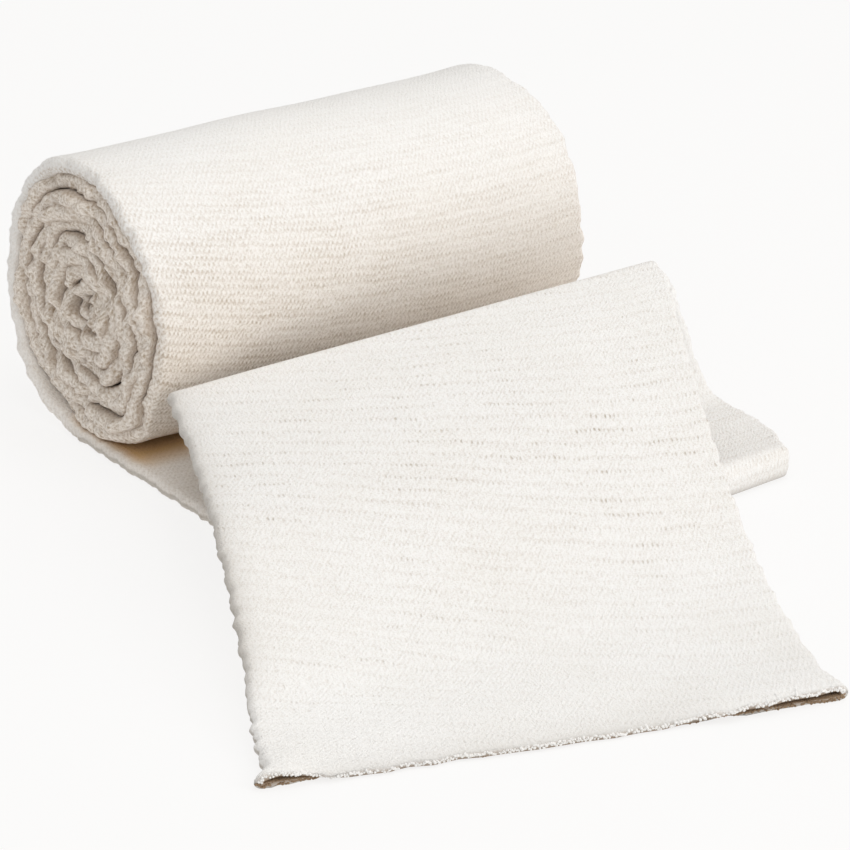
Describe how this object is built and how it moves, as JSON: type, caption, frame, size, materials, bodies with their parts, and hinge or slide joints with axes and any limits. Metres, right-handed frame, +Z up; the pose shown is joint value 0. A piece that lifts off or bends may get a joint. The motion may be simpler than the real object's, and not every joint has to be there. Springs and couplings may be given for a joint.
{
  "type": "tubular bandage",
  "caption": "Knitted cotton tube pressed flat and wound into a roll, its free end folded under and over and laid out in front with an open mouth.",
  "frame": {"origin": "middle of the base of the object's box, on the surface it rests on", "axes": "+X along the roll's axis, -Y from the roll towards the free end, +Z up"},
  "size_m": [0.178, 0.2256, 0.0687],
  "materials": {
    "cream_knit": "matt undyed cotton knit"
  },
  "bodies": {
    "root": {"knitted_tube": "cream_knit"}
  },
  "joints": []
}
